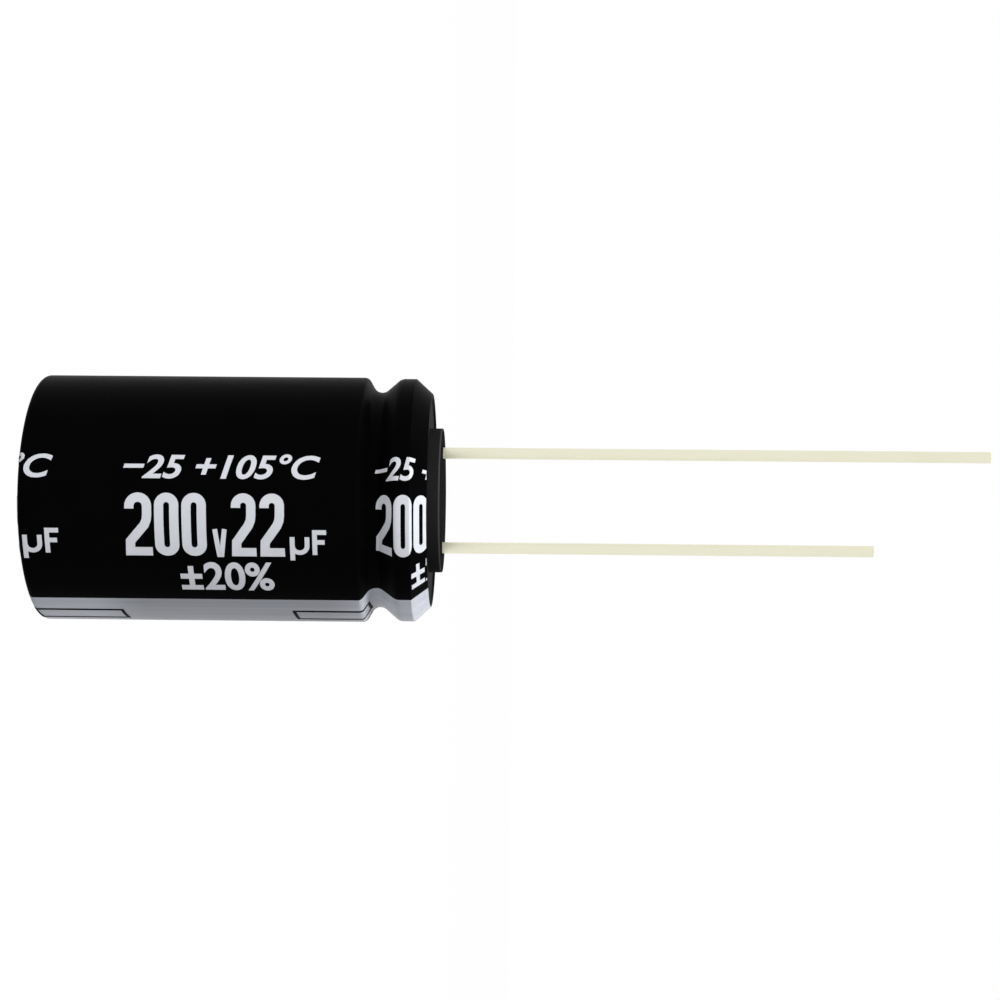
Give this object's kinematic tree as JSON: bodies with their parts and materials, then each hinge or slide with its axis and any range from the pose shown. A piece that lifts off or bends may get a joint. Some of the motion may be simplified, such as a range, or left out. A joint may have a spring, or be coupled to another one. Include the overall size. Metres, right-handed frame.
{
  "type": "electrolytic capacitor",
  "caption": "Radial-lead aluminium electrolytic capacitor: sleeved round can with a rolled groove, rubber end seal, polarity stripe and two straight wire leads.",
  "frame": {"origin": "centre of the closed vent end, on the plane that the sleeve's lap stands on", "axes": "+Z along the case's axis from the vent end to the leads, +X from the anode lead to the cathode lead"},
  "size_m": [0.0128, 0.0128, 0.0497],
  "materials": {
    "sleeve_plastic": "smooth black heat-shrunk sleeve",
    "stripe_ink": "silver-grey print",
    "can_aluminium": "drawn, bright",
    "seal_rubber": "moulded, dull",
    "tinned_wire": "tin-plated, satin",
    "tab_aluminium": "drawn and pressed",
    "etched_foil": "etched, dull grey",
    "plain_foil": "rolled, dull",
    "separator_paper": "thin, soaked",
    "tape_film": "thin amber film"
  },
  "bodies": {
    "root": {"sleeve": "sleeve_plastic", "polarity_stripe": "stripe_ink", "can": "can_aluminium", "bung": "seal_rubber", "anode_lead": "tinned_wire", "cathode_lead": "tinned_wire", "anode_tab": "tab_aluminium", "cathode_tab": "tab_aluminium", "anode_foil": "etched_foil", "cathode_foil": "plain_foil", "inner_separator": "separator_paper", "outer_separator": "separator_paper", "fixing_tape": "tape_film"}
  },
  "joints": []
}
